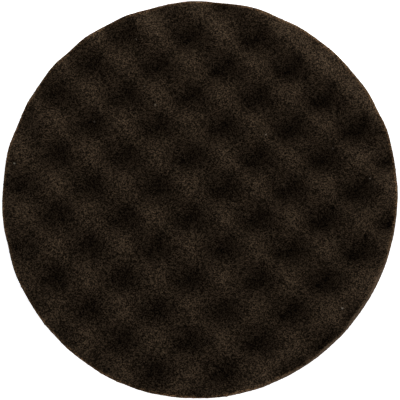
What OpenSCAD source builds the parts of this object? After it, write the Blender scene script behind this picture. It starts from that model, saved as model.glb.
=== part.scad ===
// Foam polishing pad with a waffle face and a hook-and-loop back.
// The origin is the centre of the loop face, which presses on the machine's backing plate.
// +Z points out of the waffle face. All sizes are in millimetres.

/* [Foam disc] */
// Diameter of the foam disc
foam_d = 203; // [120:0.5:260]
// Thickness of the foam, from the film to the bump tops
foam_h = 35.5; // [20:0.5:60]

/* [Waffle face] */
// Depth of the hollows below the bump tops
waffle_depth = 12; // [2:0.5:15]
// Distance from bump to bump along a row
bump_pitch = 34.5; // [20:0.1:60]
// Distance between every second row, which line up with each other
row_pitch = 31; // [20:0.1:60]
// Turn of the rows from the X axis, in degrees
row_turn = -0.8; // [-90:0.1:90]
// Place of the bump nearest the centre, along X
bump_x = -8.5; // [-30:0.1:30]
// Place of the bump nearest the centre, along Y
bump_y = 6.2; // [-30:0.1:30]
// How far the soft edge draws in beside a hollow
edge_draw = 0.5; // [0:0.1:4]

/* [Loop back] */
// Width of bare foam left around the loop fabric
back_margin = 6; // [0:0.5:15]
// Thickness of the hot-melt film
film_t = 0.3; // [0.1:0.05:1]
// Thickness of the knitted ground cloth
cloth_t = 0.7; // [0.3:0.05:2]
// Height of the loop pile
pile_h = 1.5; // [0.8:0.1:4]

/* [Hidden] */

// The layers lie face to face, from the loops upwards.
cloth_z = pile_h;
film_z = cloth_z + cloth_t;
foam_z = film_z + film_t;
top_z = foam_z + foam_h;
foam_r = foam_d / 2;
back_d = foam_d - 2 * back_margin;

// The foam's mesh: a web of six sectors, ring i of which has 6 * i points.
rings = 36;
wall_steps = 3;
rim_points = 6 * rings;

// 1 on a bump top, 0 at the bottom of a hollow: the product of two cosines gives staggered rows.
function lift(x, y) =
    let (u = (x - bump_x) * cos(row_turn) + (y - bump_y) * sin(row_turn),
         v = (y - bump_y) * cos(row_turn) - (x - bump_x) * sin(row_turn))
    (1 + cos(360 * u / bump_pitch) * cos(360 * v / row_pitch)) / 2;

function face_z(x, y) = top_z - waffle_depth * (1 - lift(x, y));

// How far the top edge is drawn in at an angle: not at all beside a bump, fully beside a hollow.
function draw_in(a) = edge_draw * (1 - lift(foam_r * cos(a), foam_r * sin(a)));

// A point of the waffle face, at a share of the way from the centre to the edge.
function face_point(share, a) =
    let (r = share * (foam_r - draw_in(a)), x = r * cos(a), y = r * sin(a))
    [x, y, face_z(x, y)];

// A point of the side wall, at a share of the way from the back to the top edge.
function wall_point(share, a) =
    let (r = foam_r - draw_in(a) * pow(share, 2), edge = face_point(1, a))
    [r * cos(a), r * sin(a), foam_z + share * (edge[2] - foam_z)];

// Where ring i starts in the list of points, and the number of its point k.
function ring_start(i) = i == 0 ? 0 : 1 + 3 * i * (i - 1);
function web(i, k) = i == 0 ? 0 : ring_start(i) + k % (6 * i);

// The wall's rows of points follow the web's; row 0 is the web's own last ring.
function wall(row, k) =
    row == 0 ? web(rings, k) : ring_start(rings + 1) + (row - 1) * rim_points + k % rim_points;

// The convoluted foam disc, one closed skin.
module waffle_foam() {
    face_points = [
        face_point(0, 0),
        for (i = [1 : rings], k = [0 : 6 * i - 1]) face_point(i / rings, 60 * k / i)
    ];
    wall_points = [
        for (row = [1 : wall_steps], k = [0 : rim_points - 1])
            wall_point(1 - row / wall_steps, 360 * k / rim_points)
    ];
    outer_triangles = [
        for (i = [1 : rings], s = [0 : 5], j = [0 : i - 1])
            [web(i - 1, s * (i - 1) + j), web(i, s * i + j + 1), web(i, s * i + j)]
    ];
    inner_triangles = [
        for (i = [2 : rings], s = [0 : 5], j = [0 : i - 2])
            [web(i - 1, s * (i - 1) + j), web(i - 1, s * (i - 1) + j + 1), web(i, s * i + j + 1)]
    ];
    wall_triangles = [
        for (row = [1 : wall_steps], k = [0 : rim_points - 1])
            each [
                [wall(row - 1, k), wall(row - 1, k + 1), wall(row, k + 1)],
                [wall(row - 1, k), wall(row, k + 1), wall(row, k)]
            ]
    ];
    back = [for (k = [0 : rim_points - 1]) wall(wall_steps, k)];
    color([0.13, 0.1, 0.08])
        polyhedron(
            points = concat(face_points, wall_points),
            faces = concat(outer_triangles, inner_triangles, wall_triangles, [back])
        );
}

// One round layer of the back.
module back_layer(z, thickness) {
    translate([0, 0, z]) cylinder(d = back_d, h = thickness, $fn = 180);
}

// The hot-melt film that bonds the loop fabric to the foam.
module adhesive_film() {
    color([0.8, 0.78, 0.7]) back_layer(film_z, film_t);
}

// The knitted ground of the loop fabric.
module backing_cloth() {
    color([0.2, 0.2, 0.21]) back_layer(cloth_z, cloth_t);
}

// The standing nylon loops, which the backing plate's hooks catch.
module loop_pile() {
    color([0.27, 0.27, 0.28]) back_layer(0, pile_h);
}

waffle_foam();
adhesive_film();
backing_cloth();
loop_pile();
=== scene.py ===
import math
import bpy
import numpy as np
from mathutils import Matrix, Vector, noise
from mathutils.geometry import delaunay_2d_cdt


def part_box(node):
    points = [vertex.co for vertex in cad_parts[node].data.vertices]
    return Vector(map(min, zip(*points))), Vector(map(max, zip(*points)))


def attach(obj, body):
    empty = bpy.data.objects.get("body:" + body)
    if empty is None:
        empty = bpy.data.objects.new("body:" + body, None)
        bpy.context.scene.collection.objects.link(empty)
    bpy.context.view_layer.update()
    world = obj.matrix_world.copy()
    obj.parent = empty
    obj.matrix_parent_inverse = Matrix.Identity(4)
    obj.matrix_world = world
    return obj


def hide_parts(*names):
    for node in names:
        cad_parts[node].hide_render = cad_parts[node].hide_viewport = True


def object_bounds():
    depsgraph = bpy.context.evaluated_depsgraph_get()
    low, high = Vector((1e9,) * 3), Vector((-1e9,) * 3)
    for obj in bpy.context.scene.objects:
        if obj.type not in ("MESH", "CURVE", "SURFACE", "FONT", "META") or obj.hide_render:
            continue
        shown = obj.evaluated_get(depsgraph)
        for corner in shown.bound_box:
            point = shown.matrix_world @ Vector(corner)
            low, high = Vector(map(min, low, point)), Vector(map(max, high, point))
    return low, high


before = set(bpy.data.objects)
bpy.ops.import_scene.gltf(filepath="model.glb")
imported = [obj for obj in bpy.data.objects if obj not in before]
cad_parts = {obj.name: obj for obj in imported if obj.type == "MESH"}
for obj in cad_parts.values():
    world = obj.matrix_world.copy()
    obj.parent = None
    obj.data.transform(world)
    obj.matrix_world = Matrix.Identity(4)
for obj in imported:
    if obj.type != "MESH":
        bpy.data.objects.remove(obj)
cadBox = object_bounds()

mm = 0.001  # every size below is in millimetres, and meshes are scaled by this at the end
noiseReach = 1.6  # brings the noise to about -1 to 1
seedStep = (17.3, 5.1, 9.7)  # how far apart two seeds' noises lie
scene = bpy.context.scene


def makePiece(name, points, faces, material, smooth=True):
    mesh = bpy.data.meshes.new(name)
    mesh.from_pydata((np.asarray(points) * mm).tolist(), [], faces)
    mesh.validate()
    mesh.polygons.foreach_set("use_smooth", [smooth] * len(mesh.polygons))
    mesh.materials.append(material)
    piece = bpy.data.objects.new(name, mesh)
    scene.collection.objects.link(piece)
    return piece


def softNoise(points, size, seed):
    # smooth noise from about -1 to 1, with lumps of the given size
    offset = Vector(seedStep) * seed
    return np.array([noise.noise(Vector(p) / size + offset) for p in points]) * noiseReach


def nodeBox(name):
    low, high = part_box(name)
    return np.array(low) / mm, np.array(high) / mm


class Graph:
    # a short way to write a material's nodes
    def __init__(self, name):
        self.material = bpy.data.materials.new(name)
        self.material.use_nodes = True
        self.tree = self.material.node_tree
        self.shader = self.tree.nodes["Principled BSDF"]

    def add(self, kind, **settings):
        node = self.tree.nodes.new(kind)
        for key, value in settings.items():
            setattr(node, key, value)
        return node

    def join(self, output, socket):
        self.tree.links.new(output, socket)

    def place(self):
        return self.add("ShaderNodeTexCoord").outputs["Object"]

    def cells(self, size):
        # how far from a cell's middle, and a tone of the cell's own; size in millimetres
        node = self.add("ShaderNodeTexVoronoi", feature="F1")
        node.inputs["Scale"].default_value = 1 / (size * mm)
        self.join(self.place(), node.inputs["Vector"])
        split = self.add("ShaderNodeSeparateColor")
        self.join(node.outputs["Color"], split.inputs["Color"])
        return node.outputs["Distance"], split.outputs["Red"]

    def clouds(self, size, detail=2.0, roughness=0.5):
        node = self.add("ShaderNodeTexNoise")
        node.inputs["Scale"].default_value = 1 / (size * mm)
        node.inputs["Detail"].default_value = detail
        node.inputs["Roughness"].default_value = roughness
        self.join(self.place(), node.inputs["Vector"])
        return node.outputs["Fac"]

    def ramp(self, value, stops):
        node = self.add("ShaderNodeValToRGB")
        ramp = node.color_ramp
        while len(ramp.elements) < len(stops):
            ramp.elements.new(0.5)
        for element, (place, colour) in zip(ramp.elements, stops):
            element.position = place
            shade = colour if hasattr(colour, "__len__") else (colour,) * 3
            element.color = (*shade, 1)
        self.join(value, node.inputs["Fac"])
        return node.outputs["Color"]

    def mix(self, a, b, factor, blend="MIX"):
        node = self.add("ShaderNodeMix", data_type="RGBA", blend_type=blend)
        for name, value in (("Factor", factor), ("A", a), ("B", b)):
            socket = node.inputs[name]
            if hasattr(value, "is_linked"):
                self.join(value, socket)
            else:
                socket.default_value = value
        return node.outputs["Result"]

    def math(self, operation, a, b=0.0):
        node = self.add("ShaderNodeMath", operation=operation)
        for socket, value in zip(node.inputs, (a, b)):
            if hasattr(value, "is_linked"):
                self.join(value, socket)
            else:
                socket.default_value = value
        return node.outputs["Value"]

    def bump(self, height, depth, strength):
        # depth in millimetres
        node = self.add("ShaderNodeBump")
        node.inputs["Distance"].default_value = depth * mm
        node.inputs["Strength"].default_value = strength
        self.join(height, node.inputs["Height"])
        return node.outputs["Normal"]

    def finish(self, colour=None, roughness=None, normal=None, **values):
        for socket, value in (("Base Color", colour), ("Roughness", roughness), ("Normal", normal)):
            if value is not None:
                if hasattr(value, "is_linked"):
                    self.join(value, self.shader.inputs[socket])
                else:
                    self.shader.inputs[socket].default_value = value
        for socket, value in values.items():
            self.shader.inputs[socket.replace("_", " ")].default_value = value
        return self.material


waffle = {
    "depth": 12.0,          # hollow below bump top
    "deeper": 0.24,         # share by which the hollows deepen towards one side
    "deeperTowards": 52,
    "bumpPitch": 34.5,      # bump to bump along a row
    "rowPitch": 31.0,       # every second row
    "rowTurn": -0.8,        # degrees
    "bump": (-8.5, 6.2),    # the bump nearest the centre
    "edgeDraw": 0.3,        # how far the edge draws in beside a hollow
    "stretch": 0.016,       # bumps stand closer together towards +Y, as a share at the rim
    "skew": 0.0076,         # and their rows fan out towards +X
    "wander": 0.2,          # how far bumps stray from their places
    "wanderSize": 45.0,
}

foamDisc = {
    "cell": 0.74,           # spacing of the skin's points, about one foam cell
    "jitter": 0.27,         # share of the spacing
    "ringSteps": (0, 0.35, 0.9),  # even rings at the edge, so many spacings in
    "edgeFray": 1.5,        # width of the painted rim highlight, a paler line along the top edge
    "paintedRimLightStart": 1.4,       # above 1, the line is at full strength over its outer part
    "edgeRound": 1.1,       # the cut edge's soft shoulder
    "grain": 0.055,         # height of single cells
    "nap": 0.045,           # height of the uneven cut, a few cells wide
    "napSize": 2.6,
    "swell": 0.2,           # slow unevenness of the face
    "swellSize": 24.0,
    "wallRows": 34,
    "wallGrain": 0.07,
    "wallShift": 0.2,       # sideways, as a share of the spacing
    "drag": 0.12,           # long faint ridges that the knife drags round the wall
    "dragSize": (26.0, 2.4),
    "edgeWobble": 0.15,     # the die's uneven cut round the edge
    "edgeWobbleSize": 9.0,
    "outOfRound": ((2, 0.66, 55), (3, 0.28, 20)),  # lobes round the disc, their height and angle
    "leanIn": 1.3,          # the top edge leans in on one side, which bares the wall
    "leanAngle": -38,
    "leanSpread": 34,
    "leanShare": (0.4, 0.8),  # how much of the lean is there everywhere, and how much more by a hollow
    "leanCurve": 1.5,
    "tags": 26,             # torn tags and nicks round the cut, most of them on the leaning side
    "tagReach": 0.4,
    "tagWidth": 0.55,
    "tagHeight": 3.0,
    "tagsLeaning": 0.6,     # share of the tags on the leaning side
    "tagsOut": 0.7,         # share that stand out; the rest are nicks
    "tagsFromBase": 2.0,
    "seed": 11,
}

foamLow, foamHigh = nodeBox("waffle_foam")
foamRadius = (foamHigh[0] - foamLow[0]) / 2
faceTop = foamHigh[2]


def waffleLift(x, y):
    # 1 on a bump top and 0 at the bottom of a hollow
    turn = math.radians(waffle["rowTurn"])
    x, y = x - waffle["bump"][0], y - waffle["bump"][1]
    u = x * math.cos(turn) + y * math.sin(turn)
    v = y * math.cos(turn) - x * math.sin(turn)
    along = np.cos(2 * np.pi * u / waffle["bumpPitch"])
    across = np.cos(2 * np.pi * v / waffle["rowPitch"])
    return (1 + along * across) / 2


def hollowDepth(x, y):
    side = math.radians(waffle["deeperTowards"])
    return waffle["depth"] * (1 + waffle["deeper"] * (x * math.cos(side) + y * math.sin(side)) / foamRadius)


def straying(x, y):
    # the bumps' places wander a little, as the sheet stretched while it was cut
    flat = np.stack([x, y, np.zeros(len(x))], 1)
    amount = waffle["wander"]
    closer = 1 + waffle["stretch"] * y / foamRadius
    fan = waffle["skew"] * x * y / foamRadius
    strayX = amount * softNoise(flat, waffle["wanderSize"], 3)
    strayY = amount * softNoise(flat, waffle["wanderSize"], 5)
    return x * closer + strayX, y * closer + fan + strayY


def skinPoints(rng):
    # scattered points inside a circle of radius 1, with even rings at its edge
    step = foamDisc["cell"] / foamRadius
    rows = np.arange(-1, 1, step * math.sqrt(0.75))
    columns = np.arange(-1, 1, step)
    grid = np.array([(x + step / 2 * (j % 2), y) for j, y in enumerate(rows) for x in columns])
    grid += rng.uniform(-1, 1, grid.shape) * step * foamDisc["jitter"]
    ringShares = [1 - inward * step for inward in foamDisc["ringSteps"]]
    grid = grid[np.hypot(grid[:, 0], grid[:, 1]) < ringShares[-1] - 0.5 * step]
    count = int(2 * math.pi / step)
    rings = []
    for i, share in enumerate(ringShares):
        angle = (np.arange(count) + 0.5 * (i % 2)) * 2 * np.pi / count
        rings.append(np.stack([share * np.cos(angle), share * np.sin(angle)], 1))
    return np.vstack(rings + [grid]), count


def edgeShape(angle):
    # the disc's radius at its base, how far its top edge stands in from that, and where it leans
    rim = np.column_stack([np.cos(angle), np.sin(angle), np.zeros(len(angle))]) * foamRadius
    base = foamRadius + foamDisc["edgeWobble"] * softNoise(rim, foamDisc["edgeWobbleSize"], 8)
    for lobes, height, at in foamDisc["outOfRound"]:
        base += height * np.cos(lobes * (angle - math.radians(at)))
    hollow = 1 - waffleLift(*straying(rim[:, 0], rim[:, 1]))
    off = np.degrees(np.angle(np.exp(1j * (angle - math.radians(foamDisc["leanAngle"])))))
    leaning = np.exp(-(off / foamDisc["leanSpread"]) ** 2)
    steady, byHollow = foamDisc["leanShare"]
    drawIn = waffle["edgeDraw"] * hollow + foamDisc["leanIn"] * leaning * (steady + byHollow * hollow)
    return base, drawIn, leaning


def cutMarks(rng):
    # each tag's or nick's place round the edge, level, reach, width and height
    count = foamDisc["tags"]
    spread = math.radians(foamDisc["leanSpread"])
    onLean = rng.random(count) < foamDisc["tagsLeaning"]
    place = np.where(onLean, rng.normal(math.radians(foamDisc["leanAngle"]), spread, count),
                     rng.uniform(-math.pi, math.pi, count))
    level = rng.uniform(foamLow[2] + foamDisc["tagsFromBase"], foamHigh[2] - waffle["depth"], count)
    reach = foamDisc["tagReach"] * rng.uniform(0.5, 1.2, count)
    reach = reach * np.where(rng.random(count) < foamDisc["tagsOut"], 1, -1)
    width = foamDisc["tagWidth"] * rng.uniform(0.7, 1.8, count)
    return np.column_stack([place, level, reach, width,
                            foamDisc["tagHeight"] * rng.uniform(0.5, 1.6, count)])


def wallRelief(angle, level, marks):
    # knife drag along the wall, with the tags and nicks on top
    long, short = foamDisc["dragSize"]
    spots = np.column_stack([np.cos(angle) * foamRadius / long,
                             np.sin(angle) * foamRadius / long,
                             level / short])
    relief = foamDisc["drag"] * softNoise(spots, 1.0, 6)
    for place, height, reach, wide, tall in marks:
        off = np.angle(np.exp(1j * (angle - place))) * foamRadius
        relief = relief + reach * np.exp(-(off / wide) ** 2 - ((level - height) / tall) ** 2)
    return relief


def makeFoam(material):
    rng = np.random.default_rng(foamDisc["seed"])
    flat, rimCount = skinPoints(rng)
    triangles = delaunay_2d_cdt([Vector(p) for p in flat], [], [], 0, 1e-7)[2]

    # the face: the flat skin is stretched to the rim and lifted into bumps
    angle = np.arctan2(flat[:, 1], flat[:, 0])
    base, drawIn, leaning = edgeShape(angle)
    fromEdge = (1 - np.hypot(flat[:, 0], flat[:, 1])) * foamRadius
    place = flat * (base - drawIn)[:, None]
    x, y = place.T
    z = faceTop - hollowDepth(x, y) * (1 - waffleLift(*straying(x, y)))
    spots = np.column_stack([x, y, np.zeros(len(x))])
    z += foamDisc["swell"] * softNoise(spots, foamDisc["swellSize"], 1)
    z += foamDisc["nap"] * softNoise(spots, foamDisc["napSize"], 2)
    z += rng.normal(0, foamDisc["grain"], len(z))
    near = np.clip(fromEdge / foamDisc["edgeRound"], 0, 1)
    z -= foamDisc["edgeRound"] * (1 - np.sqrt(1 - (1 - near) ** 2))
    points = [np.column_stack([x, y, z])]
    # painted rim highlight: paler colour along the top edge stands in for light caught there, left off the
    # leaning side where the lamps light the bared wall
    fromLine = 1 - fromEdge / foamDisc["edgeFray"]
    paintedRimLight = [np.clip(foamDisc["paintedRimLightStart"] * fromLine, 0, 1) * (1 - leaning)]
    faces = [tuple(t) for t in triangles]

    # the side wall, from the rim down to the back
    rimAngle = angle[:rimCount]
    base, drawIn, rimZ = base[:rimCount], drawIn[:rimCount], z[:rimCount]
    baseZ = foamLow[2]
    rows = foamDisc["wallRows"]
    before = np.arange(rimCount)
    start = len(flat)
    marks = cutMarks(rng)
    for row in range(1, rows + 1):
        share = 1 - row / rows
        height = baseZ + share * (rimZ - baseZ)
        radius = base - drawIn * share ** foamDisc["leanCurve"] + wallRelief(rimAngle, height, marks)
        radius = radius + rng.normal(0, foamDisc["wallGrain"], rimCount) * (row < rows)
        shift = rng.uniform(-foamDisc["wallShift"], foamDisc["wallShift"], rimCount)
        turn = rimAngle + shift * foamDisc["cell"] / foamRadius
        points.append(np.column_stack([radius * np.cos(turn), radius * np.sin(turn), height]))
        # the painted rim highlight runs down the top of the wall as well
        fromTop = 1 - (rimZ - height) / foamDisc["edgeFray"]
        paintedRimLight.append(np.clip(fromTop, 0, 1) * (1 - leaning[:rimCount]))
        now = start + np.arange(rimCount)
        for k in range(rimCount):
            n = (k + 1) % rimCount
            faces.append((before[k], now[k], now[n], before[n]))
        before = now
        start += rimCount
    faces.append(tuple(reversed(before.tolist())))

    piece = makePiece("waffleFoam", np.vstack(points), faces, material)
    paintedRimLightLayer = piece.data.attributes.new("paintedRimLight", "FLOAT", "POINT")
    paintedRimLightLayer.data.foreach_set("value", np.concatenate(paintedRimLight))
    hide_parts("waffle_foam")
    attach(piece, "root")
    print("foam:", len(piece.data.vertices), "points,", len(piece.data.polygons), "faces")
    return piece


foamLook = {
    "pore": (0.0048, 0.0033, 0.002),
    "strut": (0.0345, 0.0233, 0.0142),
    "fleck": (0.19, 0.13, 0.08),
    "stops": (0.3, 0.58, 0.94),
    "cellSize": 0.54,
    "fineSize": 0.21,
    "reach": 0.25,          # shares of the cell's own shade, its tone and the fine cut in the grain
    "tone": 0.5,
    "fine": 0.35,
    "toneSize": 30.0,
    "patches": [(0.3, 0.91), (0.7, 1.0)],
    "relief": 0.3,          # of the grain, in millimetres
    "rimGlow": (1.0, 0.54, 0.27, 1),  # loose cell ends catch light where the face turns away
    "paintedRimLightGain": (2.5, 2.15, 1.8, 1),  # how much paler the painted rim highlight makes the colour along the top edge
    # painted glints: tiny pale specks standing in for light caught by foam cell windows
    "paintedGlint": (0.25, 0.22, 0.18, 1),
    "paintedGlintSize": 0.9,
    "paintedGlintShare": 0.00025,   # of the surface
}


def foamMaterial():
    g = Graph("blackFoam")
    reach, tone = g.cells(foamLook["cellSize"])
    fine = g.clouds(foamLook["fineSize"], 3.0, 0.7)
    web = g.math("MULTIPLY", reach, foamLook["reach"])
    web = g.math("ADD", web, g.math("MULTIPLY", fine, foamLook["fine"]))
    web = g.math("ADD", web, g.math("MULTIPLY", tone, foamLook["tone"]))
    shades = [foamLook[part] for part in ("pore", "strut", "fleck")]
    colour = g.ramp(web, list(zip(foamLook["stops"], shades)))
    patches = g.ramp(g.clouds(foamLook["toneSize"], 2.0), foamLook["patches"])
    colour = g.mix(colour, patches, 1.0, "MULTIPLY")
    # painted rim highlight: the colour is made paler along the top edge, standing in for light caught there
    paintedRimLight = g.add("ShaderNodeAttribute", attribute_name="paintedRimLight").outputs["Fac"]
    colour = g.mix(colour, foamLook["paintedRimLightGain"], paintedRimLight, "MULTIPLY")
    # painted glints: a few cells take a pale colour, standing in for light caught by cell windows
    glintSpots = g.math("GREATER_THAN", g.cells(foamLook["paintedGlintSize"])[1], 1 - foamLook["paintedGlintShare"])
    colour = g.mix(colour, foamLook["paintedGlint"], glintSpots)
    normal = g.bump(web, foamLook["relief"], 0.9)
    print("foam material ready")
    return g.finish(colour, 0.95, normal, Specular_IOR_Level=0.02,
                    Sheen_Weight=0.12, Sheen_Roughness=0.25, Sheen_Tint=foamLook["rimGlow"])


backCloth = {
    "rib": 1.3,
    "ringStep": 1.2,
    "ripple": 0.04,
    "ripplePitch": 3.9,     # three ribs
    "ribScale": 0.15915,    # fits the wave pattern's own spacing to the ribs
    "shades": [(0.3, (0.022, 0.022, 0.024)), (0.7, (0.05, 0.05, 0.053))],
}

loops = {
    "count": 6200,
    "yarn": 0.16,           # yarn radius
    "width": 1.5,
    "reach": 1.45,          # how far a loop stands out of the cloth
    "lean": 0.35,
    "stray": 0.25,          # how far a loop's root strays from its place
    "steps": 5,
    "sides": 3,
    "seed": 23,
    "shades": [(0.3, (0.03, 0.03, 0.032)), (0.7, (0.085, 0.085, 0.09))],
}

film = {
    "shades": [(0.3, (0.5, 0.47, 0.38)), (0.7, (0.66, 0.63, 0.55))],
    "roughness": [(0.3, 0.3), (0.7, 0.5)],
}


def makeFilm(material):
    # the film keeps its CAD shape and only takes a material
    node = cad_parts["adhesive_film"]
    node.data.materials.clear()
    node.data.materials.append(material)
    print("film: material set")


def makeCloth(material):
    low, high = nodeBox("backing_cloth")
    radius = (high[0] - low[0]) / 2
    rings = int(radius / backCloth["ringStep"])
    points, faces = [], []
    count = 6 * rings
    angle = np.arange(count) * 2 * np.pi / count
    for side, level in (("under", low[2]), ("top", high[2])):
        for i in range(1, rings + 1):
            r = radius * i / rings
            z = level + np.zeros(count)
            if side == "under" and i < rings:
                x = r * np.cos(angle)
                z = z + backCloth["ripple"] * (1 + np.cos(2 * np.pi * x / backCloth["ripplePitch"]))
            points.append(np.column_stack([r * np.cos(angle), r * np.sin(angle), z]))
    for layer in range(2):
        for i in range(rings - 1):
            a = (layer * rings + i) * count
            b = a + count
            for k in range(count):
                n = (k + 1) % count
                quad = (a + k, b + k, b + n, a + n)
                faces.append(quad if layer else quad[::-1])
        hub = [layer * rings * count + k for k in range(count)]
        faces.append(tuple(hub if layer else hub[::-1]))
    under, top = (rings - 1) * count, (2 * rings - 1) * count
    for k in range(count):
        n = (k + 1) % count
        faces.append((under + k, under + n, top + n, top + k))
    piece = makePiece("backingCloth", np.vstack(points), faces, material)
    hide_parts("backing_cloth")
    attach(piece, "root")
    print("cloth:", len(piece.data.polygons), "faces")
    return piece


def makeLoops(material):
    low, high = nodeBox("loop_pile")
    rng = np.random.default_rng(loops["seed"])
    radius = (high[0] - low[0]) / 2 - loops["width"] / 2
    count = loops["count"]
    # sunflower spacing keeps the loops even
    index = np.arange(count) + 0.5
    r = radius * np.sqrt(index / count)
    turn = index * math.pi * (3 - math.sqrt(5))
    root = np.column_stack([r * np.cos(turn), r * np.sin(turn)]) + rng.normal(0, loops["stray"], (count, 2))
    yaw = rng.uniform(0, math.pi, count)
    lean = rng.normal(0, loops["lean"], count)
    width = loops["width"] * rng.uniform(0.75, 1.15, count)
    reach = loops["reach"] * rng.uniform(0.8, 1.0, count)
    steps, sides = loops["steps"], loops["sides"]
    along = np.stack([np.cos(yaw), np.sin(yaw), np.zeros(count)], 1)
    across = np.stack([-np.sin(yaw) * np.cos(lean), np.cos(yaw) * np.cos(lean), np.sin(lean)], 1)
    down = np.cross(across, along)
    down *= -np.sign(down[:, 2:3])
    points = np.zeros((count, steps + 1, sides, 3))
    yarn = loops["yarn"]
    for s in range(steps + 1):
        a = math.pi * s / steps
        out = along * math.cos(a) + down * math.sin(a)
        centre = np.column_stack([root, np.full(count, high[2] + yarn)])
        centre = centre + along * (width / 2 * math.cos(a))[:, None] + down * (reach * math.sin(a))[:, None]
        for k in range(sides):
            c = 2 * math.pi * k / sides
            points[:, s, k] = centre + yarn * (out * math.cos(c) + across * math.sin(c))
    flatPoints = points.reshape(-1, 3)
    flatPoints[:, 2] = np.maximum(flatPoints[:, 2], low[2])
    each = (steps + 1) * sides
    pattern = []
    for s in range(steps):
        for k in range(sides):
            n = (k + 1) % sides
            pattern.append((s * sides + k, s * sides + n, (s + 1) * sides + n, (s + 1) * sides + k))
    faces = [tuple(i * each + v for v in quad) for i in range(count) for quad in pattern]
    for i in range(count):
        faces.append(tuple(i * each + k for k in range(sides))[::-1])
        faces.append(tuple(i * each + steps * sides + k for k in range(sides)))
    piece = makePiece("loopPile", flatPoints, faces, material)
    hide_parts("loop_pile")
    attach(piece, "root")
    print("loops:", count, "with", len(piece.data.polygons), "faces")
    return piece


def clothMaterial():
    g = Graph("groundCloth")
    colour = g.ramp(g.clouds(0.9, 3.0), backCloth["shades"])
    wales = g.add("ShaderNodeTexWave", wave_type="BANDS", bands_direction="X")
    wales.inputs["Scale"].default_value = backCloth["ribScale"] / (backCloth["rib"] * mm)
    wales.inputs["Distortion"].default_value = 1.0
    g.join(g.place(), wales.inputs["Vector"])
    normal = g.bump(wales.outputs["Fac"], 0.2, 0.7)
    return g.finish(colour, 0.85, normal, Sheen_Weight=0.15)


def loopMaterial():
    g = Graph("nylonLoops")
    colour = g.ramp(g.clouds(1.4, 3.0), loops["shades"])
    normal = g.bump(g.clouds(0.12, 2.0), 0.03, 0.5)
    return g.finish(colour, 0.55, normal, Sheen_Weight=0.25)


def filmMaterial():
    g = Graph("hotMelt")
    colour = g.ramp(g.clouds(2.5, 3.0), film["shades"])
    roughness = g.ramp(g.clouds(6.0, 2.0), film["roughness"])
    normal = g.bump(g.clouds(1.2, 2.0), 0.05, 0.5)
    return g.finish(colour, roughness, normal, Subsurface_Weight=0.1)


studio = {
    "distance": 4000.0,
    "tilt": 1.2,            # degrees off straight above
    "tiltTowards": -45.0,   # the viewer stands off to the lower right
    "frameWidth": 204.2,
    "sensor": 36.0,
    "aim": (0.30, -0.43),
    "clipEnd": 100.0,       # metres
    "floorHalf": 4000.0,
    "floorDrop": 0.2,       # keeps the floor clear of the pile
    "floorShade": 0.9,
    "floorGlow": 1.0,
}

tent = {"bandFrom": 0.05, "bandTo": 0.3, "overhead": 0.0, "strength": 1.45}

softboxes = [
    # name, azimuth, elevation, watts, side, distance
    ("key", 315, 33, 5.8, 650, 1500),
    ("lowRight", 348, 15, 1.7, 400, 1500),
    ("topFill", 82, 25, 0.42, 200, 430),
    ("topRake", 51, 12, 0.74, 300, 700),
    ("overhead", 135, 64, 0.078, 150, 310),
]


def makeFloor():
    g = Graph("paleFloor")
    shade = studio["floorShade"]
    material = g.finish((shade, shade, shade, 1), 0.9, None, Specular_IOR_Level=0.0)
    g.shader.inputs["Emission Color"].default_value = (1, 1, 1, 1)
    g.shader.inputs["Emission Strength"].default_value = studio["floorGlow"]
    half = studio["floorHalf"]
    corners = [(-half, -half, 0), (half, -half, 0), (half, half, 0), (-half, half, 0)]
    floor = makePiece("paleFloor", corners, [(0, 1, 2, 3)], material, smooth=False)
    floor.location.z = -studio["floorDrop"] * mm


def makeWorld():
    # a light tent: bright low down all round, dark overhead
    world = bpy.data.worlds.new("softTent")
    world.use_nodes = True
    nodes, links = world.node_tree.nodes, world.node_tree.links
    place = nodes.new("ShaderNodeTexCoord")
    split = nodes.new("ShaderNodeSeparateXYZ")
    links.new(place.outputs["Generated"], split.inputs["Vector"])
    ramp = nodes.new("ShaderNodeValToRGB")
    ramp.color_ramp.interpolation = "EASE"
    low, high = ramp.color_ramp.elements
    low.position, high.position = tent["bandFrom"], tent["bandTo"]
    low.color = (1, 1, 1, 1)
    high.color = (tent["overhead"],) * 3 + (1,)
    links.new(split.outputs["Z"], ramp.inputs["Fac"])
    links.new(ramp.outputs["Color"], nodes["Background"].inputs["Color"])
    nodes["Background"].inputs["Strength"].default_value = tent["strength"]
    scene.world = world


def makeSoftbox(name, azimuth, elevation, power, size, distance):
    light = bpy.data.lights.new(name, "AREA")
    light.shape = "SQUARE"
    light.size = size * mm
    light.energy = power
    lamp = bpy.data.objects.new(name, light)
    a, e = math.radians(azimuth), math.radians(elevation)
    away = Vector((math.cos(a) * math.cos(e), math.sin(a) * math.cos(e), math.sin(e)))
    lamp.location = away * distance * mm
    lamp.rotation_euler = away.to_track_quat("Z", "Y").to_euler()
    scene.collection.objects.link(lamp)


def makeCamera():
    top = cadBox[1][2] / mm
    t, a = math.radians(studio["tilt"]), math.radians(studio["tiltTowards"])
    target = Vector((studio["aim"][0], studio["aim"][1], top))
    back = Vector((math.sin(t) * math.cos(a), math.sin(t) * math.sin(a), math.cos(t)))
    right = Vector((0, 1, 0)).cross(back).normalized()
    up = back.cross(right)
    data = bpy.data.cameras.new("camera")
    data.sensor_width = studio["sensor"]
    data.lens = studio["sensor"] * studio["distance"] / studio["frameWidth"]
    data.clip_end = studio["clipEnd"]
    camera = bpy.data.objects.new("camera", data)
    turn = Matrix((right, up, back)).transposed().to_4x4()
    camera.matrix_world = Matrix.Translation((target + back * studio["distance"]) * mm) @ turn
    scene.collection.objects.link(camera)
    scene.camera = camera


scene.view_settings.view_transform = "Standard"
makeCamera()
makeWorld()
makeFloor()
for box in softboxes:
    makeSoftbox(*box)
print("studio ready")

makeFoam(foamMaterial())
makeFilm(filmMaterial())
makeCloth(clothMaterial())
makeLoops(loopMaterial())
